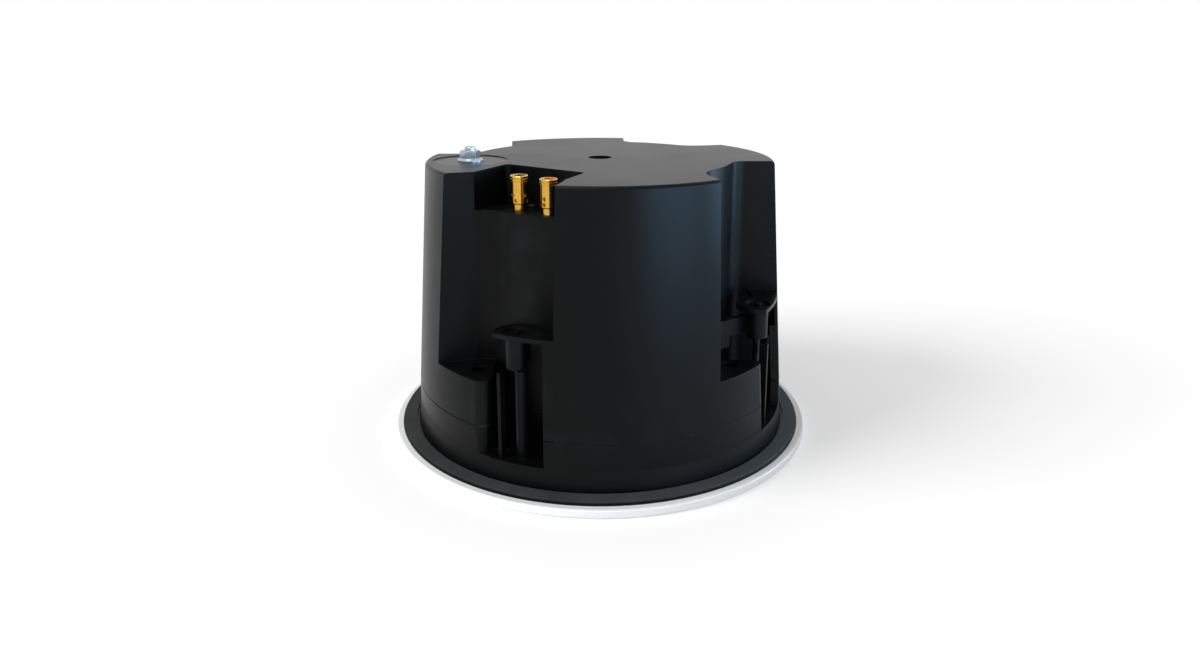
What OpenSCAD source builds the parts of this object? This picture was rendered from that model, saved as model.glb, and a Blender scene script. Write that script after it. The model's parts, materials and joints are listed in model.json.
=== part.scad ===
// Round in ceiling speaker with a closed back can, standing face down on its front ring.
// The origin is the centre of the front ring on the surface it stands on, and +Z runs to the closed end.

/* [Front ring and grille] */
// Outside diameter of the white front ring
ring_d = 240; // [236:0.5:260]
// Radial width of the front ring beside the flange
ring_w = 3.85; // [3:0.05:6]
// Height of the front ring
ring_h = 5; // [4.5:0.1:7]
// Thickness of the lip that the flange stands on
ring_lip_h = 3.2; // [2.8:0.1:3.6]
// Radial width of that lip under the flange
ring_lip_w = 2.85; // [1.5:0.05:4]
// Gap between the grille and the ring
grille_gap = 0.4; // [0.2:0.05:1]
// Sheet thickness of the grille
grille_t = 0.8; // [0.6:0.1:1.2]
// How far the grille is set back from the front edge
grille_setback = 0.6; // [0.4:0.1:1]
// Height of the folded rim of the grille
grille_rim_h = 2.2; // [1.6:0.1:2.4]
// Diameter of one hole in the grille
grille_hole_d = 4; // [2:0.1:5]
// Distance from ring of holes to ring of holes
grille_pitch = 6.4; // [6:0.1:14]

/* [Chassis] */
// Height of the flange's back face
flange_top = 6; // [5.6:0.1:8]
// Thickness of the foam ring on the flange
gasket_t = 1; // [0.5:0.1:2]
// Radial width of the flange outside the side wall
flange_w = 9; // [8.5:0.1:9.5]
// Height of the decks in the four channels
deck_top = 16.6; // [15:0.1:20]
// Thickness of the baffle
deck_t = 3; // [2.4:0.1:4]
// Wall thickness of the chassis and the can
wall_t = 3; // [2:0.1:3.4]
// Height of the seam between chassis and can
seam_z = 31; // [26:0.5:40]
// Thickness of the seal in the seam
seal_t = 0.5; // [0.3:0.1:1]

/* [Back can] */
// Height of the closed end
can_top = 155; // [145:1:200]
// How far the can stands inside the foot of the side wall
can_step = 1.7; // [1.2:0.1:2.4]
// How much smaller the closed end is in radius than the foot of the can
can_lean = 7.9; // [1:0.1:8.4]
// Rounding of the closed end
can_edge_r = 2; // [1:0.1:3]
// Height of the screw ledges
ear_top = 54.5; // [45:0.5:56]
// Clearance between a parked dog and the inner wall of its channel
arm_clear = 1.3; // [0.8:0.1:3]
// Diameter of the blind recess in the closed end
centre_recess_d = 13.4; // [8:0.1:20]
// Depth of that recess
centre_recess_h = 6; // [2:0.5:10]

/* [Clamps] */
// How far the clamp screws stand inside the foot of the can
clamp_inset = 10.7; // [10:0.1:11.5]
// Direction of the first clamp in degrees
clamp_az = -25.6; // [-26:0.1:-25]
// Diameter of a clamp screw
clamp_screw_d = 4; // [3.5:0.1:4.4]
// Outside diameter of the hub of a dog
hub_d = 11.2; // [10:0.1:11.4]
// Underside of the hub when the dog is parked
hub_low = 62.8; // [62:0.1:66]
// Height of the hub
hub_h = 15.4; // [12:0.1:15.6]
// Thickness of a dog's arm
arm_t = 3.5; // [3:0.1:3.8]
// Reach of a dog's arm from the screw
arm_len = 26.5; // [24:0.5:27]
// Angle between the parked arm and straight outwards
park_angle = 118; // [110:1:120]
// Underside of the shelf that closes the top of a clamp bay
shelf_low = 79; // [79:0.1:82]
// Thickness of the shelf
shelf_t = 2.2; // [1.6:0.1:3]

/* [Terminals] */
// How far the terminal recess reaches in from the inner wall of its channel
recess_in = 24.6; // [20:0.1:26]
// Width of the recess at that side
recess_w = 52; // [46:1:54]
// Depth of the recess
recess_h = 20; // [16:0.5:24]
// Distance between the two binding posts
post_pitch = 19.05; // [16:0.05:24]
// Outside diameter of a binding post
post_d = 9.2; // [8:0.1:11]
// Height of a binding post above its plate
post_h = 18.4; // [15:0.1:19]
// Diameter of the plug socket
socket_d = 4.1; // [4:0.05:4.3]

/* [Safety stud] */
// Thread diameter of the stud
stud_d = 6; // [5:0.5:8]
// Height of the stud above the closed end
stud_up = 7.7; // [7:0.1:12]
// Distance of the stud from the edge of the closed end
stud_inset = 24.6; // [22:0.1:28]
// Direction of the stud in degrees
stud_az = -171.6; // [-175:0.1:-168]
// Radius of the shallow round recess round the stud
stud_pad_r = 20.7; // [12:0.1:21]

/* [Woofer] */
// Gap between the basket's flange and the heads of the clamp screws
basket_gap = 6.6; // [5:0.1:8]
// Width of the basket's flange outside the surround's roll
basket_rim = 13; // [12.5:0.5:14]
// Width of the surround's roll
roll_w = 10; // [8:0.5:12]
// Radius of the voice coil former, outside
former_r = 13; // [12:0.1:14]
// Radius of the ring magnet
magnet_r = 45; // [38:0.5:55]
// Thickness of the ring magnet
magnet_t = 16; // [10:0.5:22]

/* [Hidden] */
$fn = 96;
eps = 0.01;
run_gap = 0.05;
root = 1;
seat_gap = 0.3;
sides = 4;

function dir(a) = [cos(a), sin(a)];
function left_of(v) = [-v[1], v[0]];
// Points on an arc from angle a0 to a1
function arc(c, r, a0, a1, n = 8) = [for (i = [0 : n]) c + r * dir(a0 + (a1 - a0) * i / n)];

// Front ring
ring_r = ring_d / 2;
flange_r = ring_r - ring_w - 0.15;
wall_foot_r = flange_r - flange_w;
can_foot_r = wall_foot_r - can_step;
can_top_r = can_foot_r - can_lean;
clamp_r = can_foot_r - clamp_inset;
clamp_y = clamp_r * sin(clamp_az);
ring_in_r = ring_r - ring_w;
lip_in_r = flange_r - ring_lip_w;
grille_r = lip_in_r - grille_gap;
grille_back = grille_setback + grille_t;
grille_field_r = grille_r - 8;

// Magnets that hold the grille
gm_count = 8;
gm_r = flange_r - 7;
gm_d = 5;
gm_sink = 1.4;

// Walls
taper = atan((can_foot_r - can_top_r) / (can_top - seam_z));
deck_low = deck_top - deck_t;
band_top = seam_z - seal_t / 2;
can_low = seam_z + seal_t / 2;
roof_low = can_top - wall_t;
function can_r(z) = can_foot_r - (z - seam_z) * tan(taper);
skirt_in_r = wall_foot_r - wall_t - 1.6;
band_foot_r = can_foot_r + 0.3;

// Channels: each has a wall on its clockwise side, one on its anticlockwise side, and an inner arc.
// A wall's direction and its distance from the clamp screw give its distance from the axis.
function wall_c(a, gap) = clamp_r * sin(abs(a - clamp_az)) - gap;
cw_wall_a = -73.5;
cw_wall_c = wall_c(cw_wall_a, 36.99);
cw_fillet = 20;
ccw_wall_a = 0;
ccw_wall_c = wall_c(ccw_wall_a, 25.28);
ccw_fillet = 9;
term_wall_a = -15.3;
term_wall_c = wall_c(term_wall_a, 21.9);
reach = 70;
fillet_steps = 8;
inner_steps = 14;
terminal_bay = 3;

// Screw ledges beside the channels, and the cheeks that guard the clamps
ear_y = clamp_y - 14.13;
ear_round = 5;
cheek_y = clamp_y + 13.38;
cheek_t = 1.7;
cheek_return = 4.6;
cheek_top = 64;
ear_screw_in = 6.88;
ear_screw_r = can_foot_r - 13.7;
ear_screw_az = asin((ear_y - ear_screw_in) / ear_screw_r);
ear_screw_d = 3.5;
ear_bore_r = 4.2;
ear_bore_h = 4;

// Clamps
hub_r = hub_d / 2;
bush_r = 3;
arm_off = 3.7;
channel_r = clamp_r + arm_len * cos(park_angle) - (arm_off + arm_t) * sin(park_angle) - arm_clear;
travel = 3.5;
foot_len = 9.5;
foot_low = 59;
arm_low = 65;
arm_top = 74.4;
shield_t = 1.3;
shield_r = hub_r + seat_gap + shield_t;
shield_top = hub_low - seat_gap;
shield_from = 33;
shield_to = 80;
rail_v = 6.1;
rail_u = 5.8;
rail_t = 1.8;
rail_w = 4.4;
rail_top = arm_low - travel - seat_gap;
cap_r = 11.6;
cap_dish_r = 6.7;
cap_dish_h = 1;
screw_head_r = 4;
screw_head_h = 2.6;
screw_tip = shelf_low + shelf_t + 0.6;

// Terminals
recess_az = -125.1;
recess_u = channel_r - recess_in;
recess_flare = 12;
recess_pinch = 8.3;
recess_corner = 3;
plate_t = 2;
plate_top = can_top - recess_h;
plate_low = plate_top - plate_t;
plate_rim = 1.2;
post_u = recess_u + 17.3;
post_v = 6.6;
post_r = post_d / 2;
socket_r = socket_d / 2;
stem_r = 2.95;
collar_r = 3.7;
collar_in_r = socket_r + 0.5;
stem_foot_h = 3.6;
stem_foot_r = 3.4;
socket_low = plate_top + 3;
stem_top = plate_top + post_h - 2;
sleeve_low = plate_top + stem_foot_h + seat_gap;
sleeve_top = plate_top + post_h;
stem_tail = 8;
tag_r = 4;
plate_screw_u = recess_u + 6.8;
plate_screw_v = 6.6;
plate_screw_gap = 10.1;
plate_screw_d = 2.9;

// Stud
stud_r = can_top_r - stud_inset;
stud_pad_h = 0.5;
nut_flange_r = 7.1;
nut_hex_r = 5.77;
nut_h = 6;

// Woofer, from the front to the back
basket_t = 2.2;
basket_r = clamp_r - screw_head_r - basket_gap;
roll_out_r = basket_r - basket_rim;
cutout_r = roll_out_r;
basket_front = deck_low - basket_t;
roll_r = roll_w / 2;
roll_mid = roll_out_r - roll_r;
lip_t = 0.6;
cone_r = roll_out_r - roll_w;
cone_neck = 33;
cone_t = 0.9;
plate_front = 50;
plate_th = 6;
plate_r = magnet_r - 7;
pole_r = former_r - 0.8;
gap_r = former_r + 1.2;
magnet_low = plate_front + plate_th;
magnet_top = magnet_low + magnet_t;
yoke_t = 6;
yoke_top = magnet_top + yoke_t;
yoke_r = magnet_r - 5;
wadding_t = 14;
tweeter_bore_r = 5;
spider_z = 41;
shelf_in_r = plate_r - 5;
driver_screw_r = basket_r - 3.8;
driver_screw_az = 13.5;
driver_screw_d = 3.5;
driver_boss_r = 3.6;
driver_boss_h = 6;

// Tweeter
tweeter_r = 15;
tweeter_back = 25;
tweeter_front = 11;
dome_r = 12.5;

// Crossover
board_c = [6, 12];
board = [60, 40, 1.6];
board_low = roof_low - 14;
boss_r = 3.5;
board_screw_d = 2.9;
board_holes = [for (x = [-1, 1]) for (y = [-1, 1])
    [board_c[0] + x * (board[0] / 2 - 4), board_c[1] + y * (board[1] / 2 - 4), 0]];

black = [0.05, 0.05, 0.055];
zinc = [0.66, 0.7, 0.72];
gold = [0.85, 0.62, 0.2];

// Outline of one channel, made larger by g on all its walls
module channel(g = 0, terminal = false) {
    a1 = terminal ? term_wall_a : ccw_wall_a;
    d1 = dir(a1);
    c1 = (terminal ? term_wall_c : ccw_wall_c) + ccw_fillet;
    d2 = dir(cw_wall_a);
    c2 = cw_wall_c + cw_fillet;
    q1 = sqrt(pow(channel_r + ccw_fillet, 2) - c1 * c1) * d1 - c1 * left_of(d1);
    q2 = sqrt(pow(channel_r + cw_fillet, 2) - c2 * c2) * d2 + c2 * left_of(d2);
    in1 = atan2(-q1[1], -q1[0]);
    in2 = atan2(-q2[1], -q2[0]);
    top1 = arc(q1, ccw_fillet + g, a1 + 90, in1, fillet_steps);
    top2 = arc(q2, cw_fillet + g, in2 > 0 ? in2 : in2 + 360, cw_wall_a + 270, fillet_steps);
    inner = channel_r - g;
    b1 = atan2(q1[1], q1[0]);
    b2 = atan2(q2[1], q2[0]);
    polygon(concat(
        [top1[0] + reach * d1],
        [for (i = [0 : fillet_steps - 1]) top1[i]],
        arc([0, 0], inner, b1, b2, inner_steps),
        [for (i = [1 : fillet_steps]) top2[i]],
        [top2[fillet_steps] + reach * d2]));
}

// All four channels as cutters between two heights
module channels(g, z0, z1) {
    for (k = [0 : sides - 1])
        rotate(90 * k)
            translate([0, 0, z0])
                linear_extrude(z1 - z0)
                    channel(g, k == terminal_bay);
}

// Rounds the outer corner of a screw ledge, leaning with the wall
module ear_corner_cut() {
    a = -asin((ear_round - ear_y) / (can_foot_r - ear_round));
    out = ear_round + 9;
    rotate(a)
        translate([can_foot_r - ear_round, 0, seam_z])
            rotate([0, -taper, 0])
                translate([0, 0, deck_top - seam_z])
                    linear_extrude(ear_top - deck_top + 4)
                        polygon(concat(
                            arc([0, 0], ear_round, 3, 90 - a, 5),
                            [out * dir(90 - a), (out + 2) * dir(60), [out, 0.3]]));
}

// The channels below the ledges, where each is narrowed by an ear
module low_channels(z0, z1) {
    for (k = [0 : sides - 1])
        rotate(90 * k)
            translate([0, 0, z0])
                linear_extrude(z1 - z0)
                    intersection() {
                        channel(0, k == terminal_bay);
                        translate([0, ear_y]) square(ring_d);
                    }
    for (k = [0 : sides - 1])
        rotate(90 * k) ear_corner_cut();
}

// Outline of the terminal recess in its own direction, made larger by g
module recess_outline(g = 0) {
    long = recess_in + 20;
    half = recess_w / 2;
    r = recess_corner;
    top = half + r * tan(recess_flare) - r / cos(recess_flare);
    low = -half + r * tan(recess_pinch) + r / cos(recess_pinch);
    rotate(recess_az)
        translate([recess_u + r, 0])
            polygon(concat(
                arc([0, top], r + g, 90 + recess_flare, 180, 6),
                arc([0, low], r + g, 180, 270 + recess_pinch, 6),
                [[long, low + long * tan(recess_pinch) - (r + g) / cos(recess_pinch)],
                    [long, top + long * tan(recess_flare) + (r + g) / cos(recess_flare)]]));
}

// Outline of the seat of the terminal plate, or of the plate itself, made larger by g
module plate_outline(g) {
    difference() {
        recess_outline(g - plate_rim);
        rotate(90 * terminal_bay) channel(plate_rim - g, true);
    }
}

// Wall of thickness t that follows the leaning side of the can
module side_shell(t, z0, z1) {
    rotate_extrude($fn = 120)
        polygon([[can_r(z0) - t, z0], [can_r(z0), z0], [can_r(z1), z1], [can_r(z1) - t, z1]]);
}

// The same for the band of the chassis, rooted in the baffle
module band_shell(t) {
    rotate_extrude($fn = 120)
        polygon([
            [can_foot_r - t, deck_top - root], [can_foot_r, deck_top - root], [band_foot_r, deck_top],
            [can_foot_r, band_top], [can_foot_r - t, band_top]]);
}

// Keeps what lies in front of the clamp bay's anticlockwise wall, up to depth d
module cheek_zone(d, z0, z1) {
    translate([0, cheek_y, z0]) cube([ring_r, d, z1 - z0]);
}

// Place at the k-th clamp screw, with X outwards
module at_clamp(k) {
    rotate(clamp_az + 90 * k)
        translate([clamp_r, 0, 0])
            children();
}

// Place at the k-th ledge screw
module at_ear(k) {
    rotate(ear_screw_az + 90 * k)
        translate([ear_screw_r, 0, 0])
            children();
}

// Place at the safety stud
module at_stud() {
    rotate(stud_az)
        translate([stud_r, 0, 0])
            children();
}

// Place at a binding post, with side -1 for the black and 1 for the red one
module at_post(side) {
    rotate(recess_az)
        translate([post_u, post_v + side * post_pitch / 2, 0])
            children();
}

// Upright cylinder between two heights
module rod(r, z0, z1) {
    translate([0, 0, z0]) cylinder(r = r, h = z1 - z0);
}

// Upright tube between two heights
module tube(r_out, r_in, z0, z1) {
    difference() {
        rod(r_out, z0, z1);
        rod(r_in, z0 - 1, z1 + 1);
    }
}

// White front ring with its lip
module bezel_ring() {
    foot_round = 2;
    top_round = 1;
    color([0.9, 0.9, 0.88])
        rotate_extrude($fn = 240)
            polygon(concat(
                [[lip_in_r, 0]],
                arc([ring_r - foot_round, foot_round], foot_round, -90, 0, 6),
                arc([ring_r - top_round, ring_h - top_round], top_round, 0, 90, 5),
                [[ring_in_r, ring_h], [ring_in_r, ring_lip_h], [lip_in_r, ring_lip_h]]));
}

// Pressed steel grille: a perforated disc with a folded rim
module grille() {
    rings = floor(grille_field_r / grille_pitch);
    color([0.93, 0.93, 0.92]) {
        translate([0, 0, grille_setback])
            linear_extrude(grille_t)
                difference() {
                    circle(grille_r, $fn = 240);
                    circle(grille_hole_d / 2);
                    for (i = [1 : rings])
                        for (j = [0 : 6 * i - 1])
                            rotate(j * 60 / i)
                                translate([i * grille_pitch, 0])
                                    circle(grille_hole_d / 2);
                }
        tube(grille_r, grille_r - grille_t, grille_back, grille_setback + grille_rim_h);
    }
}

// Small magnets in the flange that hold the grille
module grille_magnets() {
    color([0.75, 0.76, 0.78])
        for (k = [0 : gm_count - 1])
            rotate(360 / gm_count * (k + 0.5))
                translate([gm_r, 0, 0])
                    rod(gm_d / 2, grille_back, ring_lip_h + gm_sink);
}

// Curved shield, thin rail and cheeks of the clamp bays
module clamp_guides() {
    for (k = [0 : sides - 1]) {
        at_clamp(k) {
            translate([0, 0, deck_top - root])
                linear_extrude(shield_top - deck_top + root)
                    polygon(concat(
                        arc([0, 0], shield_r, shield_from, shield_to, 8),
                        arc([0, 0], shield_r - shield_t, shield_to, shield_from, 8)));
            translate([rail_u - rail_w / 2, -rail_v - rail_t / 2, deck_top - root])
                cube([rail_w, rail_t, rail_top - deck_top + root]);
        }
        rotate(90 * k) {
            intersection() {
                band_shell(cheek_t);
                cheek_zone(-ccw_wall_c - cheek_y + 6, deck_top - root, band_top);
            }
            intersection() {
                band_shell(cheek_return);
                cheek_zone(2, deck_top - root, band_top);
            }
        }
    }
}

// Moulded chassis: flange, skirt, baffle, lobed band and clamp guides
module chassis() {
    color(black)
        difference() {
            union() {
                difference() {
                    rotate_extrude($fn = 180)
                        polygon([
                            [0, ring_lip_h], [flange_r, ring_lip_h], [flange_r, flange_top],
                            [wall_foot_r, flange_top], [wall_foot_r - 0.1, flange_top + 1],
                            [band_foot_r, deck_top], [can_foot_r, band_top], [0, band_top]]);
                    low_channels(deck_top, band_top + 1);
                    difference() {
                        rod(can_foot_r - wall_t, deck_top, band_top + 1);
                        channels(wall_t, deck_low, band_top + 2);
                    }
                    rod(skirt_in_r, 0, deck_low);
                    rod(cutout_r, 0, deck_top + 1);
                }
                clamp_guides();
                for (k = [0 : sides - 1])
                    rotate(driver_screw_az + 90 * k)
                        translate([driver_screw_r, 0, 0])
                            rod(driver_boss_r, deck_top - root, deck_top + driver_boss_h);
            }
            for (k = [0 : sides - 1]) {
                at_clamp(k) rod(clamp_screw_d / 2 + run_gap, 0, deck_top + 1);
                at_ear(k) rod(ear_screw_d / 2, deck_top + 4, band_top + 1);
                rotate(driver_screw_az + 90 * k)
                    translate([driver_screw_r, 0, 0])
                        rod(driver_screw_d / 2, deck_low - 1, deck_top + driver_boss_h - 1);
            }
            for (k = [0 : gm_count - 1])
                rotate(360 / gm_count * (k + 0.5))
                    translate([gm_r, 0, 0])
                        rod(gm_d / 2 + run_gap, 0, ring_lip_h + gm_sink);
        }
}

// Foam ring that seals the flange against the ceiling
module gasket_ring() {
    color([0.13, 0.13, 0.13])
        tube(flange_r - 0.6, wall_foot_r + 1.2, flange_top, flange_top + gasket_t);
}

// Outer form of the can before its channels are cut
module can_form(inset = 0) {
    z1 = can_top - inset;
    r_edge = max(can_edge_r - inset, 0.5);
    lean = inset / cos(taper);
    top_c = can_r(z1 - r_edge) - lean - r_edge / cos(taper);
    low = can_low - inset;
    rotate_extrude($fn = 120)
        polygon(concat(
            [[0, low], [can_r(low) - lean, low]],
            arc([top_c, z1 - r_edge], r_edge, taper, 90, 6),
            [[0, z1]]));
}

// Shelf over a clamp bay, with the round pad that steadies the screw's end
module clamp_shelf() {
    s = clamp_r * dir(clamp_az);
    in_wall = 3.6 - ccw_wall_c;
    translate([0, 0, shelf_low])
        linear_extrude(shelf_t)
            intersection() {
                circle(can_r(shelf_low + shelf_t) - 0.05, $fn = 120);
                union() {
                    translate(s) circle(cap_r, $fn = 48);
                    polygon([s, s + cap_r * dir(clamp_az - 10), s + [24, 5.4],
                        [s[0] + 12.7, in_wall], [s[0] - 1.3, in_wall]]);
                }
            }
}

// Closed back can with four channels, screw ledges, shelves and the terminal recess
module back_can() {
    $fn = 36;
    color(black)
        difference() {
            union() {
                difference() {
                    can_form();
                    channels(0, ear_top, can_top + 1);
                    low_channels(can_low - 1, ear_top + eps);
                    translate([0, 0, plate_top])
                        linear_extrude(can_top)
                            recess_outline();
                    translate([0, 0, plate_low])
                        linear_extrude(can_top)
                            plate_outline(0);
                    difference() {
                        can_form(wall_t);
                        channels(wall_t, can_low - 10, can_top);
                        translate([0, 0, plate_low - wall_t])
                            linear_extrude(can_top)
                                recess_outline(wall_t);
                        rod(centre_recess_d / 2 + 2.4, can_top - centre_recess_h - wall_t, can_top);
                    }
                }
                for (k = [0 : sides - 1])
                    rotate(90 * k) {
                        clamp_shelf();
                        intersection() {
                            side_shell(cheek_t, can_low, shelf_low + eps);
                            cheek_zone(-ccw_wall_c - cheek_y + 6, can_low, shelf_low + eps);
                        }
                        intersection() {
                            side_shell(cheek_return, can_low, cheek_top);
                            cheek_zone(2, can_low, cheek_top);
                        }
                    }
                for (p = board_holes)
                    translate(p) rod(boss_r, board_low + board[2], roof_low + eps);
            }
            rod(centre_recess_d / 2, can_top - centre_recess_h, can_top + 1);
            at_stud() {
                rod(stud_pad_r, can_top - stud_pad_h, can_top + 1);
                rod(stud_d / 2 + run_gap, roof_low - 1, can_top);
            }
            for (k = [0 : sides - 1]) {
                at_ear(k) {
                    rod(ear_bore_r, ear_top - ear_bore_h, ear_top + 1);
                    rod(ear_screw_d / 2 + 0.15, can_low - 1, ear_top);
                }
                at_clamp(k) {
                    rod(clamp_screw_d / 2 + run_gap, shelf_low - 1, shelf_low + shelf_t + 1);
                    rod(cap_dish_r, shelf_low + shelf_t - cap_dish_h, shelf_low + shelf_t + 1);
                }
            }
            for (side = [-1, 1])
                at_post(side) {
                    rod(stem_r + run_gap, plate_low - wall_t - 1, plate_low + 1);
                    rod(tag_r + seat_gap, plate_low - wall_t - 4, plate_low - wall_t);
                }
            for (v = [-1, 1])
                rotate(recess_az)
                    translate([plate_screw_u, plate_screw_v + v * plate_screw_gap, 0])
                        rod(plate_screw_d / 2, plate_low - wall_t + 0.6, plate_low + 1);
            for (p = board_holes)
                translate(p) rod(board_screw_d / 2, board_low, roof_low - 2);
        }
}

// Seal in the seam, set back so that the seam shows as a fine dark line
module can_seal() {
    inset = 0.5;
    color([0.03, 0.03, 0.03])
        difference() {
            rod(can_foot_r - inset, band_top, can_low);
            translate([0, 0, band_top - 1])
                linear_extrude(seal_t + 2)
                    for (k = [0 : sides - 1])
                        rotate(90 * k)
                            intersection() {
                                channel(inset, k == terminal_bay);
                                translate([0, ear_y - inset]) square(ring_d);
                            }
            difference() {
                rod(can_foot_r - wall_t + 0.3, band_top - 1, can_low + 1);
                channels(wall_t - 0.3, band_top - 2, can_low + 2);
            }
            for (k = [0 : sides - 1]) {
                at_ear(k) rod(ear_screw_d / 2 + 0.15, band_top - 1, can_low + 1);
                rotate(90 * k) ear_corner_cut();
            }
        }
}

// Pan head screw that stands head up, with its seat at height z
module pan_screw(r, head_r, head_h, z, tip) {
    rod(r, tip, z + eps);
    translate([0, 0, z])
        rotate_extrude()
            polygon(concat([[0, 0], [head_r, 0], [head_r, head_h * 0.45]],
                arc([head_r - head_h * 0.55, head_h * 0.45], head_h * 0.55, 0, 90, 5),
                [[0, head_h]]));
}

// Cross recess for a screw head whose top is at height z
module cross_slot(z, size = 3.4, depth = 1.2) {
    for (a = [0, 90])
        rotate(a)
            translate([-size / 2, -0.45, z - depth])
                cube([size, 0.9, depth + 1]);
}

// Screws that hold the can to the chassis
module can_screws() {
    color(zinc)
        for (k = [0 : sides - 1])
            at_ear(k)
                difference() {
                    pan_screw(ear_screw_d / 2 - run_gap, 3.4, 2.4, ear_top - ear_bore_h, deck_top + 5);
                    cross_slot(ear_top - ear_bore_h + 2.4);
                }
}

// Clamp screw: its head bears on the front of the baffle, its tip turns in the shelf
module clamp_screw(k) {
    head_low = deck_low - 0.1 - screw_head_h;
    color(zinc)
        at_clamp(k)
            difference() {
                union() {
                    rod(clamp_screw_d / 2, head_low + 1, screw_tip);
                    rod(screw_head_r, head_low, head_low + screw_head_h);
                }
                translate([0, 0, head_low])
                    mirror([0, 0, 1]) cross_slot(0, 4.4, 1.5);
            }
}

// Threaded bush inside the hub of a dog
module clamp_bush(k) {
    color([0.78, 0.62, 0.3])
        at_clamp(k)
            tube(bush_r, clamp_screw_d / 2 + run_gap, hub_low, hub_low + hub_h);
}

// Clamp dog: hub, stepped arm and foot, parked inside the channel
module clamp_dog(k) {
    color([0.09, 0.1, 0.11])
        at_clamp(k)
            rotate(-park_angle)
                difference() {
                    union() {
                        rod(hub_r, hub_low, hub_low + hub_h);
                        translate([-hub_r * 0.2, -arm_off - arm_t, arm_low])
                            cube([arm_len + hub_r * 0.2, arm_t, arm_top - arm_low]);
                        translate([arm_len - foot_len, -arm_off - arm_t, foot_low])
                            cube([foot_len, arm_t, arm_low - foot_low + eps]);
                    }
                    rod(bush_r + run_gap, hub_low - 1, hub_low + hub_h + 1);
                }
}

// Stud that a safety cable is fixed to
module safety_stud() {
    tip_r = stud_d / 2;
    dome = 1;
    top = can_top + stud_up;
    color(zinc)
        at_stud()
            rotate_extrude()
                polygon(concat(
                    [[0, roof_low - 8], [tip_r - 0.4, roof_low - 8], [tip_r, roof_low - 7.6], [tip_r, top - dome]],
                    [for (i = [1 : 5]) [tip_r * (0.35 + 0.65 * cos(i * 15)), top - dome + dome * sin(i * 18)]],
                    [[0, top]]));
}

// Flange nut with its flange at height z
module flange_nut(z) {
    translate([0, 0, z])
        difference() {
            union() {
                rotate_extrude()
                    polygon([[0, 0], [nut_flange_r, 0], [nut_flange_r, 0.7], [nut_hex_r, 1.7], [0, 1.7]]);
                intersection() {
                    cylinder(r = nut_hex_r, h = nut_h, $fn = 6);
                    rotate_extrude()
                        polygon([[0, 0.5], [nut_hex_r, 0.5], [nut_hex_r, nut_h - 0.7], [nut_hex_r - 0.9, nut_h], [0, nut_h]]);
                }
            }
            translate([0, 0, -1]) cylinder(r = stud_d / 2 + run_gap, h = nut_h + 2);
        }
}

// Flange nut on the closed end
module stud_nut() {
    color(zinc)
        at_stud() flange_nut(can_top - stud_pad_h);
}

// The same nut inside, under the closed end
module stud_inner_nut() {
    color(zinc)
        at_stud()
            translate([0, 0, roof_low])
                mirror([0, 0, 1]) flange_nut(0);
}

// Plate that carries the binding posts
module terminal_plate() {
    color([0.06, 0.06, 0.065])
        difference() {
            translate([0, 0, plate_low])
                linear_extrude(plate_t)
                    plate_outline(-seat_gap);
            for (side = [-1, 1])
                at_post(side) rod(stem_r + run_gap, plate_low - 1, plate_top + 1);
            for (v = [-1, 1])
                rotate(recess_az)
                    translate([plate_screw_u, plate_screw_v + v * plate_screw_gap, 0])
                        rod(plate_screw_d / 2 + run_gap, plate_low - 1, plate_top + 1);
        }
}

// Screws of the terminal plate
module terminal_screws() {
    color(zinc)
        for (v = [-1, 1])
            rotate(recess_az)
                translate([plate_screw_u, plate_screw_v + v * plate_screw_gap, 0])
                    difference() {
                        pan_screw(plate_screw_d / 2 - run_gap, 2.6, 1.7, plate_top, plate_low - wall_t + 0.8);
                        cross_slot(plate_top + 1.7, 2.6, 0.9);
                    }
}

// Fixed stem of a binding post, with the socket for a plug
module post_stem(side) {
    color(gold)
        at_post(side)
            difference() {
                union() {
                    rod(stem_r, plate_top - stem_tail, stem_top);
                    rod(stem_foot_r, plate_top, plate_top + stem_foot_h);
                }
                rod(socket_r, socket_low, stem_top + 1);
            }
}

// Turned sleeve that screws down on the stem to clamp a bare wire
module post_sleeve(side) {
    body_r = post_r - 0.4;
    groove_r = post_r - 0.55;
    rim_t = 1.2;
    bead_t = 0.8;
    groove_t = 0.5;
    edge = 0.35;
    bead_top = sleeve_top - rim_t - groove_t;
    bead_low = bead_top - bead_t;
    bore_r = stem_r + run_gap;
    upper_turn = side < 0 ? -13 : 6;
    lower_turn = side < 0 ? 12 : 3;
    color(gold)
        at_post(side)
            difference() {
                rotate_extrude()
                    polygon([
                        [bore_r, sleeve_low], [body_r - edge, sleeve_low], [body_r, sleeve_low + edge],
                        [body_r, bead_low - groove_t], [groove_r, bead_low - groove_t + 0.1], [groove_r, bead_low],
                        [post_r - 0.15, bead_low], [post_r - 0.15, bead_top], [groove_r, bead_top],
                        [groove_r, bead_top + groove_t], [post_r, bead_top + groove_t], [post_r, sleeve_top - edge],
                        [post_r - edge, sleeve_top], [collar_r, sleeve_top], [collar_r, stem_top + 0.2],
                        [bore_r, stem_top + 0.2]]);
                for (i = [0 : 3]) {
                    rotate(90 * i + upper_turn)
                        translate([0, 0, sleeve_low + 4.6])
                            rotate([0, 90, 0]) cylinder(r = 1, h = post_d, $fn = 24);
                    rotate(90 * i + lower_turn)
                        translate([0, 0, sleeve_low + 1.7])
                            rotate([0, 90, 0]) cylinder(r = 1, h = post_d, $fn = 24);
                }
            }
}

// Coloured collar pressed into the top of a sleeve
module post_collar(side) {
    color(side < 0 ? [0.06, 0.05, 0.04] : [0.85, 0.2, 0.08])
        at_post(side)
            tube(collar_r - run_gap, collar_in_r, stem_top + seat_gap, sleeve_top - seat_gap);
}

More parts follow.
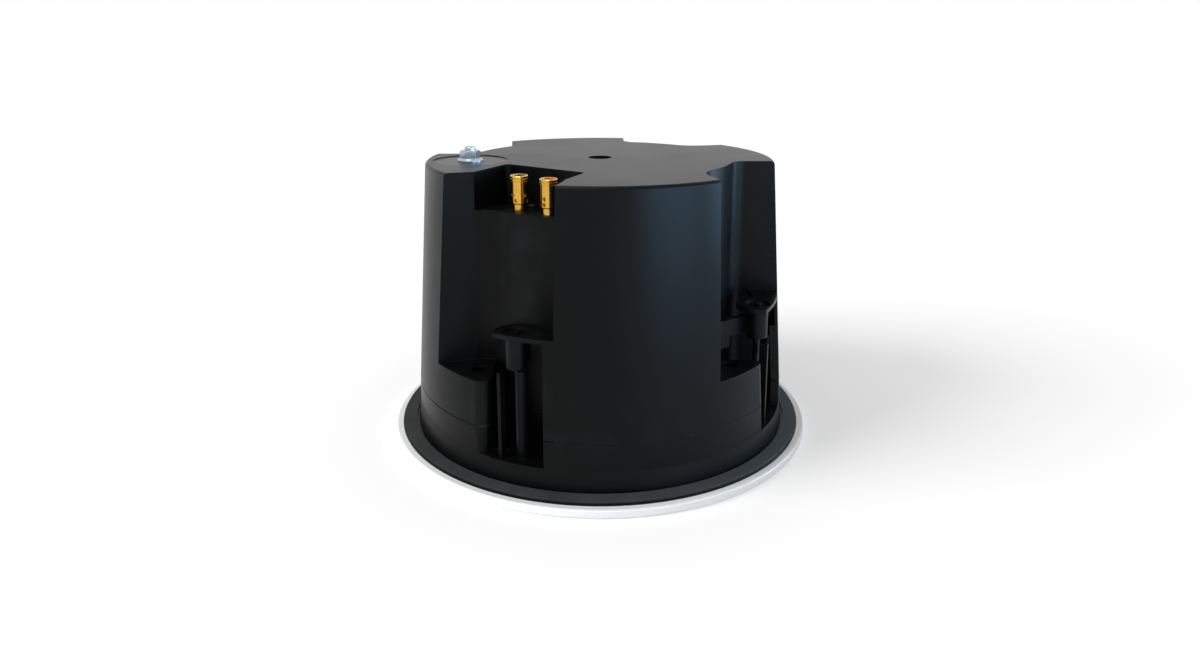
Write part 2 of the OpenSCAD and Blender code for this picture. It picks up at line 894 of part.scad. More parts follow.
// Nuts with solder tags that hold the stems from inside
module post_nuts() {
    low = plate_low - wall_t;
    color(gold)
        for (side = [-1, 1])
            at_post(side)
                difference() {
                    union() {
                        translate([0, 0, low - 2.8]) cylinder(r = tag_r, h = 2, $fn = 6);
                        rod(tag_r - 0.2, low - 0.8, low);
                        translate([-12, -2, low - 0.8]) cube([12, 4, 0.8]);
                    }
                    rod(stem_r + run_gap, low - 5, low + 1);
                }
}

// Woofer basket with six windows
module woofer_basket() {
    body_r = cutout_r - 0.4;
    foot = plate_front - 2.2;
    color([0.16, 0.16, 0.17])
        difference() {
            rotate_extrude($fn = 144)
                polygon([
                    [body_r - 1.8, basket_front], [basket_r, basket_front], [basket_r, deck_low], [body_r, deck_low],
                    [body_r, 19], [plate_r + 1.5, 42], [plate_r + 1.5, plate_front], [gap_r + 6, plate_front],
                    [gap_r + 6, foot], [plate_r - 0.6, foot], [plate_r - 0.6, spider_z + 2],
                    [shelf_in_r, spider_z + 2], [shelf_in_r, spider_z + 0.4], [plate_r - 0.6, spider_z + 0.4],
                    [body_r - 1.8, 18.4]]);
            for (i = [0 : 5])
                rotate(60 * i)
                    translate([0, 0, 20])
                        linear_extrude(spider_z - 20.5)
                            polygon([[plate_r + 1, 0], 90 * dir(-21), 90 * dir(21)]);
            for (k = [0 : sides - 1])
                rotate(driver_screw_az + 90 * k)
                    translate([driver_screw_r, 0, 0])
                        rod(driver_screw_d / 2 + run_gap, basket_front - 1, deck_low + 1);
        }
}

// Screws that hold the woofer to the baffle
module driver_screws() {
    color([0.1, 0.1, 0.1])
        for (k = [0 : sides - 1])
            rotate(driver_screw_az + 90 * k)
                translate([driver_screw_r, 0, 0])
                    mirror([0, 0, 1])
                        difference() {
                            pan_screw(driver_screw_d / 2 - run_gap, 3.2, 2.2, -basket_front,
                                -deck_top - driver_boss_h + 2);
                            cross_slot(-basket_front + 2.2, 3.2, 1.1);
                        }
}

// Front plate of the motor
module top_plate() {
    color(zinc)
        tube(plate_r, gap_r, plate_front, magnet_low);
}

// Ferrite ring magnet
module ring_magnet() {
    color([0.2, 0.2, 0.21])
        tube(magnet_r, gap_r + 6, magnet_low, magnet_top);
}

// Back plate and pole in one turned piece
module yoke() {
    color(zinc)
        difference() {
            union() {
                rod(yoke_r, magnet_top, yoke_top);
                rod(pole_r, plate_front, magnet_top + eps);
            }
            rod(tweeter_bore_r + run_gap, plate_front - 1, yoke_top + 1);
        }
}

// Cone: a thin curved shell from the surround down to the coil
module cone() {
    n = 8;
    front_z = basket_front + lip_t;
    neck_r = former_r + run_gap;
    prof = [for (i = [0 : n]) let (t = i / n)
        [cone_r - 2 - (cone_r - 2 - neck_r) * t, front_z + (cone_neck - front_z) * (1 - pow(1 - t, 1.35))]];
    color([0.12, 0.12, 0.13])
        rotate_extrude($fn = 120)
            polygon(concat(
                [[cone_r + 3, front_z], for (p = prof) p, [neck_r, cone_neck + 2.4]],
                [for (i = [n : -1 : 1]) prof[i] + [0.5, cone_t]],
                [[cone_r + 3, front_z + cone_t]]));
}

// Rubber half roll between cone and basket
module surround() {
    z = basket_front - lip_t;
    color([0.05, 0.05, 0.05])
        rotate_extrude($fn = 120)
            polygon(concat(
                [[cone_r - 3, z + lip_t], [cone_r - 3, z]],
                arc([roll_mid, z], roll_r, 180, 360, 14),
                [[roll_out_r + 5, z], [roll_out_r + 5, z + lip_t], [roll_out_r - lip_t, z + lip_t]],
                arc([roll_mid, z], roll_r - lip_t, 360, 180, 14),
                [[cone_r + lip_t, z + lip_t]]));
}

// Corrugated spider that centres the coil
module spider() {
    n = 24;
    t = 0.4;
    wave = 1;
    flat_in = 2;
    flat_out = 5;
    r0 = former_r + run_gap;
    r1 = plate_r - 1;
    line = [for (i = [0 : n])
        [r0 + (r1 - r0) * i / n, spider_z + (i < flat_in || i > n - flat_out ? 0 : wave * sin(i * 90))]];
    color([0.75, 0.6, 0.3])
        rotate_extrude($fn = 96)
            polygon(concat(
                [for (i = [0 : n]) line[i] - [0, 0.1]],
                [for (i = [n : -1 : 0]) line[i] + [0, t]]));
}

// Voice coil: former and winding
module voice_coil() {
    color([0.72, 0.42, 0.2]) {
        tube(former_r, former_r - 0.3, cone_neck - 2, plate_front + 9);
        tube(former_r + 0.6, former_r - eps, plate_front - 1, plate_front + 8);
    }
}

// Strip with the solder tags of the woofer
module woofer_tags() {
    color([0.7, 0.55, 0.3])
        rotate(driver_screw_az)
            translate([plate_r + 1.5, -8, 44])
                cube([1.6, 16, 5]);
}

// Stem that carries the tweeter through the pole
module tweeter_stem() {
    color([0.5, 0.5, 0.5]) {
        rod(tweeter_bore_r, tweeter_back, yoke_top);
        rod(tweeter_bore_r + 3, yoke_top, yoke_top + 2);
    }
}

// Cup that holds the tweeter
module tweeter_housing() {
    color([0.08, 0.08, 0.08])
        rotate_extrude()
            polygon([[0, tweeter_back - 2], [0, tweeter_back], [tweeter_r - 3, tweeter_back],
                [tweeter_r, tweeter_back - 4], [tweeter_r, tweeter_front], [dome_r + 0.6, tweeter_front],
                [dome_r + 0.6, tweeter_front + 2.2], [tweeter_r - 1.6, tweeter_front + 2.2],
                [tweeter_r - 1.6, tweeter_back - 4.6], [tweeter_r - 3.6, tweeter_back - 2]]);
}

// Motor of the tweeter
module tweeter_magnet() {
    color(zinc)
        rod(tweeter_r - 3.8, tweeter_front + 3.4, tweeter_back - 2);
}

// Silk dome
module tweeter_dome() {
    n = 8;
    rise = 3.6;
    rad = (dome_r * dome_r + rise * rise) / (2 * rise);
    half = asin(dome_r / rad);
    c = [0, tweeter_front + 2.4 - rise + rad];
    color([0.1, 0.1, 0.1])
        rotate_extrude()
            polygon(concat(
                [for (i = [0 : n]) c + rad * [sin(half * i / n), -cos(half * i / n)]],
                [[dome_r + 0.4, tweeter_front + 2.4], [dome_r + 0.4, tweeter_front + 3.4], [dome_r - 0.4, tweeter_front + 3.4]],
                [for (i = [n : -1 : 0]) c + (rad - 0.4) * [sin(half * i / n), -cos(half * i / n)]]));
}

// Circuit board of the crossover, hung on four bosses
module crossover_board() {
    color([0.1, 0.3, 0.16])
        difference() {
            translate([board_c[0] - board[0] / 2, board_c[1] - board[1] / 2, board_low]) cube(board);
            for (p = board_holes)
                translate(p) rod(board_screw_d / 2 + run_gap, board_low - 1, board_low + board[2] + 1);
        }
}

// Screws of the board
module board_screws() {
    color(zinc)
        for (p = board_holes)
            translate(p)
                mirror([0, 0, 1])
                    pan_screw(board_screw_d / 2 - run_gap, 2.6, 1.8, -board_low, -board_low - 9);
}

// Capacitors lying under the board
module capacitors() {
    cap_body_r = 6;
    cap_long = 17;
    cap_pitch = 20;
    color([0.2, 0.25, 0.5])
        for (i = [-1, 0])
            translate([board_c[0] + cap_pitch * i + 1.5, board_c[1] + 12, board_low - cap_body_r - 0.5])
                rotate([0, 90, 0]) {
                    cylinder(r = cap_body_r, h = cap_long);
                    translate([-cap_body_r - 0.5, -1, 4]) cube([2, 2, 9]);
                }
}

// Air cored inductors under the board
module inductors() {
    coil_out_r = 8;
    coil_x = 17;
    color([0.75, 0.4, 0.2])
        for (x = [-1, 1])
            translate([board_c[0] + coil_x * x, board_c[1] - 8, 0])
                tube(coil_out_r, coil_out_r / 2, board_low - 11, board_low);
}

// Cement resistors under the board
module resistors() {
    color([0.85, 0.84, 0.8])
        for (i = [-1, 0])
            translate([board_c[0] + 7.5 * i + 0.75, board_c[1] - 17, board_low - 7])
                cube([6, 15, 7]);
}

// Wadding behind the woofer
module damping_wadding() {
    color([0.82, 0.82, 0.78])
        difference() {
            rod(channel_r - wall_t - seat_gap, yoke_top + seat_gap, yoke_top + wadding_t);
            rod(tweeter_bore_r + 4, yoke_top, yoke_top + 4);
        }
}

// Catmull-Rom curve through the points, n steps for each span
function curve(p, n) = [for (i = [0 : len(p) - 2]) for (j = [0 : n - 1])
    let (a = p[max(i - 1, 0)], b = p[i], c = p[i + 1], d = p[min(i + 2, len(p) - 1)], t = j / n)
    0.5 * (2 * b + (c - a) * t + (2 * a - 5 * b + 4 * c - d) * t * t + (3 * b - a - 3 * c + d) * t * t * t)];

// Round lead of radius r along a list of points
module lead(points, r, n = 4) {
    path = concat(curve(points, n), [points[len(points) - 1]]);
    m = 8;
    last = len(path) - 1;
    frames = [for (i = [0 : last])
        let (t = path[min(i + 1, last)] - path[max(i - 1, 0)], u = t / norm(t),
            s = cross(u, [0.31, 0.17, 0.93]), x = s / norm(s), y = cross(u, x)) [x, y]];
    verts = [for (i = [0 : last]) for (j = [0 : m - 1])
        path[i] + r * (cos(360 * j / m) * frames[i][0] + sin(360 * j / m) * frames[i][1])];
    quads = [for (i = [0 : last - 1]) for (j = [0 : m - 1])
        [i * m + j, (i + 1) * m + j, (i + 1) * m + (j + 1) % m, i * m + (j + 1) % m]];
    polyhedron(verts, concat([[for (j = [0 : m - 1]) j]], quads, [[for (j = [m - 1 : -1 : 0]) last * m + j]]),
        convexity = 6);
}

// Leads from the binding posts to the board
module input_leads() {
    low = plate_low - wall_t - 1.6;
    color([0.55, 0.08, 0.06])
        for (side = [-1, 1]) {
            a = recess_az;
            start = (post_u - 11) * dir(a) + (post_v + side * post_pitch / 2) * left_of(dir(a));
            finish = [board_c[0] - board[0] / 2 + 4, board_c[1] + 4 + 4 * side];
            lead([[start[0], start[1], low], [start[0] + 6, start[1] + 8, low - 6],
                [(start[0] + finish[0]) / 2 - 4, (start[1] + finish[1]) / 2, low - 8],
                [finish[0] - 3, finish[1] - 3, board_low - 6], [finish[0], finish[1], board_low - 0.4]], 1);
        }
}

// Leads from the board to the woofer, beside the wadding
module driver_leads() {
    a = driver_screw_az;
    wall = channel_r + 6;
    wadding_top = yoke_top + wadding_t;
    color([0.55, 0.08, 0.06])
        for (side = [-1, 1]) {
            o = 3 * side * left_of(dir(a));
            p0 = [board_c[0] + board[0] / 2 - 3, board_c[1] - 3 + 3 * side];
            p2 = wall * dir(a) + o;
            p4 = (plate_r + 4) * dir(a) + 1.6 * o;
            lead([[p0[0], p0[1], board_low - 0.4], [p0[0] + 8, p0[1] - 2, board_low - 8],
                [p2[0], p2[1], wadding_top + 20], [p2[0], p2[1], yoke_top + 2],
                [p2[0] - 4, p2[1] - 1, magnet_low + 6], [p4[0] + 6, p4[1], plate_front],
                [p4[0] - 0.6, p4[1], plate_front - 3.5]], 0.9);
        }
}

bezel_ring();
grille();
grille_magnets();
chassis();
gasket_ring();
back_can();
can_seal();
can_screws();
for (k = [0 : sides - 1]) {
    clamp_screw(k);
    clamp_bush(k);
    clamp_dog(k);
}
safety_stud();
stud_nut();
stud_inner_nut();
terminal_plate();
terminal_screws();
post_stem(-1);  // post_stem_black
post_stem(1);  // post_stem_red
post_sleeve(-1);  // post_sleeve_black
post_sleeve(1);  // post_sleeve_red
post_collar(-1);  // post_collar_black
post_collar(1);  // post_collar_red
post_nuts();
woofer_basket();
driver_screws();
top_plate();
ring_magnet();
yoke();
cone();
surround();
spider();
voice_coil();
woofer_tags();
tweeter_stem();
tweeter_housing();
tweeter_magnet();
tweeter_dome();
crossover_board();
board_screws();
capacitors();
inductors();
resistors();
damping_wadding();
input_leads();
driver_leads();
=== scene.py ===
import json
import math

import bpy
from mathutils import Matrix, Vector

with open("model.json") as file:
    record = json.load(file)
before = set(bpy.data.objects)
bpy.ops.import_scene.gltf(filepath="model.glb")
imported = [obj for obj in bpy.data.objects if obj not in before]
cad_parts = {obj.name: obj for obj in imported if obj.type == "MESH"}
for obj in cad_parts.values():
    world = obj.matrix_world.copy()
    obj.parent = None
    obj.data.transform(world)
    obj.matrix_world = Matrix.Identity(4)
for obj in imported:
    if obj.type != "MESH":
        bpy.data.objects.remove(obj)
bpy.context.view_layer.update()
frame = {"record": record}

MM = 0.001
RECORD = frame["record"]

# Studio
FLOOR_SIZE = 60
FLOOR_ALBEDO = 0.8
FLOOR_GLOW = 0.32
WORLD_SKY = 0.52
CAMERA_PLACE = (0, -0.4775, 0.2215)
CAMERA_DOWN_DEG = 12.68
CAMERA_LENS = 25.377
CAMERA_SHIFT_Y = -0.0833

# The round recess under the nut
CAN_SHEEN = 0.1
DISC_SHEEN = 2 * CAN_SHEEN
DISC_RADIUS = 20.7 * MM
DISC_DEPTH = 1.5 * MM

# Screws that the photograph shows dark
BLACKENED = ("can_screws", "terminal_screws", *(f"clamp_screw_{number}" for number in range(1, 5)))

DUST_COLOR = (0.42, 0.42, 0.41)


# Shader tools
def wire(tree, source, target):
    tree.links.new(source, target)


def math_node(tree, operation, a, b=None, clamp=False):
    node = tree.nodes.new("ShaderNodeMath")
    node.operation = operation
    node.use_clamp = clamp
    for socket, value in zip(node.inputs, (a, b)):
        if value is None:
            continue
        if isinstance(value, (int, float)):
            socket.default_value = value
        else:
            wire(tree, value, socket)
    return node.outputs[0]


def vector_node(tree, operation, a, b=None):
    node = tree.nodes.new("ShaderNodeVectorMath")
    node.operation = operation
    wire(tree, a, node.inputs[0])
    if isinstance(b, tuple):
        node.inputs[1].default_value = b
    elif b is not None:
        wire(tree, b, node.inputs[1])
    return node


def object_place(tree):
    return tree.nodes.new("ShaderNodeTexCoord").outputs["Object"]


def split_axes(tree, vector):
    node = tree.nodes.new("ShaderNodeSeparateXYZ")
    wire(tree, vector, node.inputs[0])
    return node.outputs


def spread(tree, value, low, high, out_low=0.0, out_high=1.0):
    node = tree.nodes.new("ShaderNodeMapRange")
    wire(tree, value, node.inputs["Value"])
    node.inputs["From Min"].default_value = low
    node.inputs["From Max"].default_value = high
    node.inputs["To Min"].default_value = out_low
    node.inputs["To Max"].default_value = out_high
    return node.outputs["Result"]


def blend_colors(tree, factor, a, b):
    node = tree.nodes.new("ShaderNodeMix")
    node.data_type = "RGBA"
    wire(tree, factor, node.inputs[0])
    for socket, value in ((node.inputs[6], a), (node.inputs[7], b)):
        if isinstance(value, tuple):
            socket.default_value = (*value, 1.0)
        else:
            wire(tree, value, socket)
    return node.outputs[2]


def new_group(name, inputs, outputs):
    tree = bpy.data.node_groups.new(name, "ShaderNodeTree")
    for label, kind, value in inputs:
        socket = tree.interface.new_socket(name=label, in_out="INPUT", socket_type=kind)
        socket.default_value = value
    for label, kind in outputs:
        tree.interface.new_socket(name=label, in_out="OUTPUT", socket_type=kind)
    return tree, tree.nodes.new("NodeGroupInput"), tree.nodes.new("NodeGroupOutput")


FLOAT = "NodeSocketFloat"
COLOR = "NodeSocketColor"
VECTOR = "NodeSocketVector"


def noise(tree, vector, scale, detail, rough=0.5):
    node = tree.nodes.new("ShaderNodeTexNoise")
    node.inputs["Scale"].default_value = scale
    node.inputs["Detail"].default_value = detail
    node.inputs["Roughness"].default_value = rough
    wire(tree, vector, node.inputs["Vector"])
    return node.outputs["Fac"]


def make_mould_group():
    """Moulded plastic: fine spark-eroded grain, a slow change of gloss, dust, and rubbed edges."""
    tree, gin, gout = new_group(
        "moulded_surface",
        [("Base", COLOR, (0.02, 0.02, 0.02, 1)), ("Edge", COLOR, (0.1, 0.1, 0.1, 1)),
         ("Rough", FLOAT, 0.4), ("Grain", FLOAT, 0.05), ("Dust", FLOAT, 0.05)],
        [("Color", COLOR), ("Roughness", FLOAT), ("Height", FLOAT)])
    place = object_place(tree)
    cloud = noise(tree, place, 14.0, 3.0)
    patch = noise(tree, place, 60.0, 4.0, 0.6)
    grain = noise(tree, place, 2600.0, 2.0, 0.7)
    pointiness = tree.nodes.new("ShaderNodeNewGeometry").outputs["Pointiness"]
    edge = spread(tree, pointiness, 0.52, 0.6)
    wear = math_node(tree, "MULTIPLY", edge, spread(tree, patch, 0.42, 0.7), clamp=True)
    dust = math_node(tree, "MULTIPLY", gin.outputs["Dust"], spread(tree, cloud, 0.35, 0.75), clamp=True)
    dusty = blend_colors(tree, dust, gin.outputs["Base"], DUST_COLOR)
    wire(tree, blend_colors(tree, wear, dusty, gin.outputs["Edge"]), gout.inputs["Color"])
    slow = math_node(tree, "MULTIPLY", spread(tree, cloud, 0.3, 0.7, -0.5, 0.5), 0.035)
    quick = math_node(tree, "MULTIPLY", spread(tree, patch, 0.3, 0.7, -0.5, 0.5), 0.02)
    rough = math_node(tree, "ADD", gin.outputs["Rough"], math_node(tree, "ADD", slow, quick))
    wire(tree, math_node(tree, "ADD", rough, math_node(tree, "MULTIPLY", dust, 0.3), clamp=True),
         gout.inputs["Roughness"])
    wire(tree, math_node(tree, "MULTIPLY", grain, gin.outputs["Grain"]), gout.inputs["Height"])
    return tree


def make_metal_group():
    """Plated or turned metal: fine scratches, stains and a slightly uneven gloss."""
    tree, gin, gout = new_group(
        "metal_surface",
        [("Base", COLOR, (0.7, 0.7, 0.7, 1)), ("Stain", COLOR, (0.4, 0.4, 0.4, 1)),
         ("Rough", FLOAT, 0.25), ("Scratch", FLOAT, 0.3), ("Stretch", VECTOR, (1, 1, 12))],
        [("Color", COLOR), ("Roughness", FLOAT), ("Height", FLOAT)])
    place = object_place(tree)
    stretched = vector_node(tree, "MULTIPLY", place, gin.outputs["Stretch"]).outputs[0]
    lines = noise(tree, stretched, 900.0, 3.0, 0.65)
    blot = noise(tree, place, 160.0, 4.0, 0.6)
    stained = spread(tree, blot, 0.48, 0.78, 0.0, 0.6)
    wire(tree, blend_colors(tree, stained, gin.outputs["Base"], gin.outputs["Stain"]), gout.inputs["Color"])
    streak = math_node(tree, "MULTIPLY", spread(tree, lines, 0.3, 0.7, -0.5, 0.5), gin.outputs["Scratch"])
    rough = math_node(tree, "ADD", gin.outputs["Rough"], math_node(tree, "MULTIPLY", streak, 0.5))
    rough = math_node(tree, "ADD", rough, spread(tree, blot, 0.45, 0.8, 0.0, 0.14), clamp=True)
    wire(tree, rough, gout.inputs["Roughness"])
    wire(tree, math_node(tree, "MULTIPLY", lines, gin.outputs["Scratch"]), gout.inputs["Height"])
    return tree


def make_cloth_group():
    """Cloth and fibre: crossed threads with uneven colour, and painted shade in the low gaps between them.
    """
    tree, gin, gout = new_group(
        "woven_surface",
        [("Base", COLOR, (0.5, 0.5, 0.5, 1)), ("Gap_shade", COLOR, (0.2, 0.2, 0.2, 1)), ("Pitch", FLOAT, 900.0)],
        [("Color", COLOR), ("Height", FLOAT)])
    place = object_place(tree)
    waves = []
    for along in tuple(split_axes(tree, place))[:2]:
        phase = math_node(tree, "MULTIPLY", along, gin.outputs["Pitch"])
        waves.append(math_node(tree, "ABSOLUTE", math_node(tree, "SINE", phase)))
    weave = math_node(tree, "MAXIMUM", *waves)
    fuzz = noise(tree, place, 500.0, 4.0, 0.7)
    threads = math_node(tree, "MULTIPLY", weave, 0.6)
    height = math_node(tree, "ADD", threads, math_node(tree, "MULTIPLY", fuzz, 0.4))
    # Painted shade: the low gaps between threads take the darker colour, and the fuzz adds random tone
    raised = spread(tree, height, 0.3, 0.9)
    wire(tree, blend_colors(tree, raised, gin.outputs["Gap_shade"], gin.outputs["Base"]), gout.inputs["Color"])
    wire(tree, height, gout.inputs["Height"])
    return tree


MOULD = make_mould_group()
METAL = make_metal_group()
CLOTH = make_cloth_group()


def start_material(name, group, values, strength, depth):
    """A material with one shared group, a principled shader and a bump between them."""
    material = bpy.data.materials.new(name)
    material.use_nodes = True
    tree = material.node_tree
    shader = tree.nodes["Principled BSDF"]
    node = tree.nodes.new("ShaderNodeGroup")
    node.node_tree = group
    for label, value in values.items():
        socket = node.inputs[label]
        if hasattr(value, "__len__"):
            socket.default_value = (*value, 1.0) if len(socket.default_value) == 4 else value
        else:
            socket.default_value = value
    wire(tree, node.outputs["Color"], shader.inputs["Base Color"])
    bump = tree.nodes.new("ShaderNodeBump")
    bump.inputs["Strength"].default_value = strength
    bump.inputs["Distance"].default_value = depth * MM
    wire(tree, node.outputs["Height"], bump.inputs["Height"])
    wire(tree, bump.outputs["Normal"], shader.inputs["Normal"])
    return material, tree, shader, node, bump


def soften_edges(tree, bump, radius):
    """Edges of moulded and stamped pieces are never sharp: the shading rounds them."""
    node = tree.nodes.new("ShaderNodeBevel")
    node.samples = 4
    node.inputs["Radius"].default_value = radius * MM
    wire(tree, node.outputs["Normal"], bump.inputs["Normal"])


def plastic(name, base, edge, rough, grain, dust, radius, specular=0.5):
    """Moulded, painted or sintered pieces; a radius of 0 leaves the edges as they are."""
    values = {"Base": base, "Edge": edge, "Rough": rough, "Grain": grain, "Dust": dust}
    material, tree, shader, node, bump = start_material(name, MOULD, values, 0.35, 0.05)
    wire(tree, node.outputs["Roughness"], shader.inputs["Roughness"])
    shader.inputs["Specular IOR Level"].default_value = specular
    if radius:
        soften_edges(tree, bump, radius)
    return material


def metal(name, base, stain, rough, scratch=0.3, stretch=(1, 1, 12)):
    values = {"Base": base, "Stain": stain, "Rough": rough, "Scratch": scratch, "Stretch": stretch}
    material, tree, shader, node, bump = start_material(name, METAL, values, 0.25, 0.02)
    wire(tree, node.outputs["Roughness"], shader.inputs["Roughness"])
    shader.inputs["Metallic"].default_value = 1.0
    soften_edges(tree, bump, 0.25)
    return material


def cloth(name, base, dark, pitch, rough=0.9, sheen=0.2):
    values = {"Base": base, "Gap_shade": dark, "Pitch": pitch}
    material, tree, shader, node, bump = start_material(name, CLOTH, values, 0.5, 0.3)
    shader.inputs["Roughness"].default_value = rough
    shader.inputs["Sheen Weight"].default_value = sheen
    return material


# Base, rubbed edge, roughness, grain, dust, softened radius in mm, gloss
PLASTIC_FINISHES = {
    "white_ring": ((0.86, 0.875, 0.88), (0.88, 0.89, 0.89), 0.38, 0.2, 0.005, 0.3),
    "white_grille": ((0.8, 0.8, 0.79), (0.85, 0.85, 0.84), 0.55, 0.8, 0.02, 0.2),
    "black_abs": ((0.002, 0.0022, 0.0025), (0.0055, 0.006, 0.0066), 0.34, 0.4, 0.0, 0.55, CAN_SHEEN),
    "foam": ((0.012, 0.012, 0.012), (0.03, 0.03, 0.03), 0.9, 1.0, 0.05, 0.0),
    "seal_rubber": ((0.004, 0.004, 0.004), (0.01, 0.01, 0.01), 0.8, 0.3, 0.0, 0.0),
    "black_collar": ((0.03, 0.02, 0.012), (0.1, 0.08, 0.05), 0.25, 0.1, 0.02, 0.2),
    "red_collar": ((0.75, 0.09, 0.02), (0.85, 0.3, 0.15), 0.25, 0.1, 0.02, 0.2),
    "black_steel": ((0.02, 0.02, 0.022), (0.25, 0.25, 0.26), 0.42, 0.5, 0.05, 0.4),
    "ferrite": ((0.05, 0.05, 0.055), (0.12, 0.12, 0.13), 0.6, 0.8, 0.05, 0.3),
    "cone_sheet": ((0.03, 0.03, 0.033), (0.08, 0.08, 0.08), 0.5, 0.6, 0.03, 0.0),
    "soft_rubber": ((0.015, 0.015, 0.015), (0.04, 0.04, 0.04), 0.55, 0.3, 0.04, 0.0),
    "board_green": ((0.02, 0.16, 0.06), (0.3, 0.35, 0.2), 0.3, 0.2, 0.03, 0.1),
    "capacitor_blue": ((0.04, 0.09, 0.38), (0.1, 0.16, 0.5), 0.25, 0.2, 0.02, 0.5),
    "cement_white": ((0.72, 0.7, 0.64), (0.8, 0.79, 0.75), 0.8, 1.0, 0.05, 0.4),
    "lead_sheath": ((0.4, 0.02, 0.015), (0.5, 0.05, 0.04), 0.35, 0.2, 0.02, 0.0),
}
# Base, stain, roughness, scratches, stretch of the scratches
METAL_FINISHES = {
    "plated_steel": ((0.42, 0.48, 0.53), (0.28, 0.33, 0.37), 0.26, 0.3),
    "blackened_steel": ((0.018, 0.018, 0.02), (0.05, 0.05, 0.055), 0.3, 0.4),
    "turned_brass": ((0.72, 0.52, 0.24), (0.45, 0.32, 0.15), 0.28),
    "gold_plate": ((0.62, 0.36, 0.06), (0.42, 0.22, 0.03), 0.16, 0.2),
    "coil_copper": ((0.7, 0.3, 0.12), (0.45, 0.18, 0.07), 0.3, 0.8, (1, 1, 60)),
    "bare_aluminium": ((0.75, 0.76, 0.77), (0.6, 0.6, 0.61), 0.3),
}
# Thread, painted shade in the gaps, threads' phase per metre, roughness, sheen
CLOTH_FINISHES = {
    "spider_cloth": ((0.62, 0.45, 0.18), (0.4, 0.26, 0.09), 3200.0),
    "dome_cloth": ((0.06, 0.06, 0.062), (0.02, 0.02, 0.02), 5200.0, 0.5, 0.3),
    "wadding": ((0.78, 0.78, 0.76), (0.6, 0.6, 0.58), 700.0, 1.0, 0.6),
}
MATERIALS = {}
for make, finishes in ((plastic, PLASTIC_FINISHES), (metal, METAL_FINISHES), (cloth, CLOTH_FINISHES)):
    for name, values in finishes.items():
        MATERIALS[name] = make(name, *values)


def polish_disc(material, centre):
    """The round recess under the nut reflects more strongly than the rest of the can."""
    tree = material.node_tree
    shader = tree.nodes["Principled BSDF"]
    place = object_place(tree)
    shift = vector_node(tree, "SUBTRACT", place, centre).outputs[0]
    flat = vector_node(tree, "MULTIPLY", shift, (1, 1, 0)).outputs[0]
    reach = vector_node(tree, "LENGTH", flat).outputs["Value"]
    near = math_node(tree, "LESS_THAN", reach, DISC_RADIUS)
    high = math_node(tree, "GREATER_THAN", split_axes(tree, place)[2], centre[2])
    disc = math_node(tree, "MULTIPLY", near, high)
    wire(tree, spread(tree, disc, 0.0, 1.0, CAN_SHEEN, DISC_SHEEN), shader.inputs["Specular IOR Level"])


def dress_cad_nodes():
    """Each piece takes the finish of its slot; the screws on the outside are blackened."""
    for entry in RECORD["subparts"]:
        node = entry["node"]
        finish = "blackened_steel" if node in BLACKENED else entry["material_slot"]
        obj = bpy.data.objects[node]
        obj.data.materials.clear()
        obj.data.materials.append(MATERIALS[finish])
    can = bpy.data.objects["back_can"]
    stud = bpy.data.objects["safety_stud"]
    can.data.materials[0] = MATERIALS["black_abs"].copy()
    corners = [stud.matrix_world @ Vector(corner) for corner in stud.bound_box]
    centre = sum(corners, Vector()) / len(corners)
    top = max((can.matrix_world @ Vector(corner)).z for corner in can.bound_box)
    polish_disc(can.data.materials[0], (centre.x, centre.y, top - DISC_DEPTH))


dress_cad_nodes()


def place_in_scene(name, data):
    obj = bpy.data.objects.new(name, data)
    bpy.context.scene.collection.objects.link(obj)
    return obj


def light_panel(name, place, aim, size, power, color=(1, 1, 1)):
    lamp = bpy.data.lights.new(name, "AREA")
    lamp.shape = "RECTANGLE"
    lamp.size, lamp.size_y = size
    lamp.energy = power
    lamp.color = color
    obj = place_in_scene(name, lamp)
    obj.location = place
    obj.rotation_euler = (Vector(aim) - Vector(place)).to_track_quat("-Z", "Y").to_euler()
    return obj


def soft_sun(name, towards, strength, spread_deg):
    """A broad key light from the left: it casts the one soft shadow and no highlight of its own."""
    lamp = bpy.data.lights.new(name, "SUN")
    lamp.energy = strength
    lamp.angle = math.radians(spread_deg)
    obj = place_in_scene(name, lamp)
    obj.rotation_euler = Vector(towards).to_track_quat("Z", "Y").to_euler()
    obj.visible_glossy = False


def make_floor():
    """White paper for the camera and for reflections: it keeps the shadow."""
    bpy.ops.mesh.primitive_plane_add(size=FLOOR_SIZE, location=(0, 0, 0))
    floor = bpy.context.object
    floor.name = "floor"
    material = bpy.data.materials.new("paper_floor")
    material.use_nodes = True
    tree = material.node_tree
    shader = tree.nodes["Principled BSDF"]
    shader.inputs["Roughness"].default_value = 1.0
    shader.inputs["Specular IOR Level"].default_value = 0.0
    glow = tree.nodes.new("ShaderNodeEmission")
    glow.inputs["Color"].default_value = (1, 1, 1, 1)
    shader.inputs["Base Color"].default_value = (FLOOR_ALBEDO, FLOOR_ALBEDO, FLOOR_ALBEDO, 1)
    path = tree.nodes.new("ShaderNodeLightPath")
    seen = math_node(tree, "MAXIMUM", path.outputs["Is Camera Ray"], path.outputs["Is Glossy Ray"])
    wire(tree, math_node(tree, "MULTIPLY", seen, FLOOR_GLOW), glow.inputs["Strength"])
    add = tree.nodes.new("ShaderNodeAddShader")
    wire(tree, shader.outputs[0], add.inputs[0])
    wire(tree, glow.outputs[0], add.inputs[1])
    wire(tree, add.outputs[0], tree.nodes["Material Output"].inputs["Surface"])
    floor.data.materials.append(material)


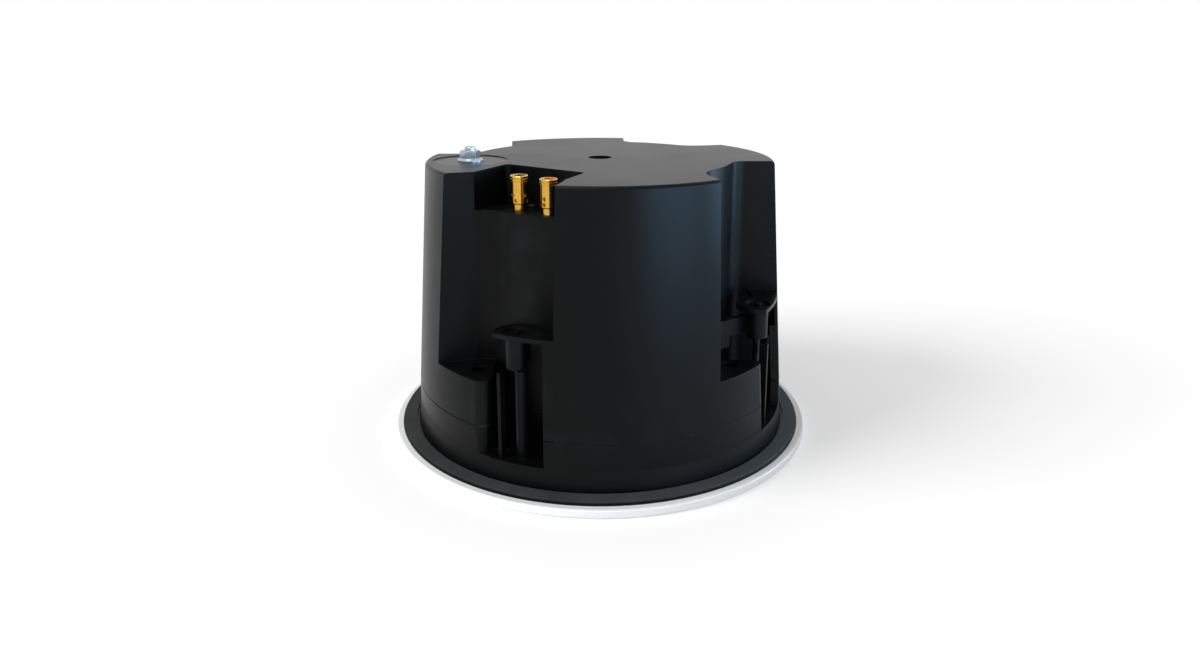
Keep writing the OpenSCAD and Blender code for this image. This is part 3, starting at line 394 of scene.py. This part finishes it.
def make_world():
    """A plain pale sky; the camera, reflections and glass see it white."""
    world = bpy.data.worlds.new("studio")
    bpy.context.scene.world = world
    world.use_nodes = True
    tree = world.node_tree
    back = tree.nodes["Background"]
    path = tree.nodes.new("ShaderNodeLightPath")
    seen = math_node(tree, "MAXIMUM", path.outputs["Is Camera Ray"], path.outputs["Is Transmission Ray"])
    seen = math_node(tree, "MAXIMUM", seen, path.outputs["Is Glossy Ray"])
    mix = tree.nodes.new("ShaderNodeMix")
    wire(tree, seen, mix.inputs[0])
    mix.inputs[2].default_value = WORLD_SKY
    mix.inputs[3].default_value = 1.0
    back.inputs["Color"].default_value = (1, 1, 1, 1)
    wire(tree, mix.outputs[0], back.inputs["Strength"])


def make_camera():
    camera = bpy.data.cameras.new("camera")
    camera.sensor_width = 36.0
    camera.lens = CAMERA_LENS
    camera.shift_y = CAMERA_SHIFT_Y
    camera.clip_end = 200
    obj = place_in_scene("camera", camera)
    obj.location = CAMERA_PLACE
    obj.rotation_euler = (math.radians(90 - CAMERA_DOWN_DEG), 0, 0)
    bpy.context.scene.camera = obj


make_camera()
make_floor()
make_world()
soft_sun("key_sun", (-1.0, -0.32, 0.58), 2.4, 38)
light_panel("left_panel", (-1.1, 0.75, 0.2), (0, 0, 0.09), (0.6, 0.4), 0.5)
# These panels only make sheens
sheens = [
    light_panel("right_panel", (0.95, 0.0, 0.2), (0, 0, 0.09), (0.7, 0.4), 13, (0.34, 0.66, 1.0)),
    light_panel("right_front_panel", (0.7, -0.75, 0.2), (0, 0, 0.09), (0.6, 0.4), 8, (0.38, 0.7, 1.0)),
    light_panel("ceiling_panel", (-0.25, -0.25, 1.1), (0, 0, 0.1), (0.5, 0.5), 3.5, (0.92, 0.97, 1.0)),
    light_panel("front_strip", (-0.35, -1.2, 0.75), (0, 0, 0.1), (0.12, 0.3), 0.5),
]
for panel in sheens:
    panel.visible_diffuse = False
# A low fill lights the ring's side and makes no sheen
fill = light_panel("ring_fill", (0, -1.5, 0.15), (0, 0, 0.02), (1.6, 0.25), 5, (0.92, 0.965, 1.0))
fill.visible_glossy = False
bpy.context.scene.view_settings.view_transform = "Standard"
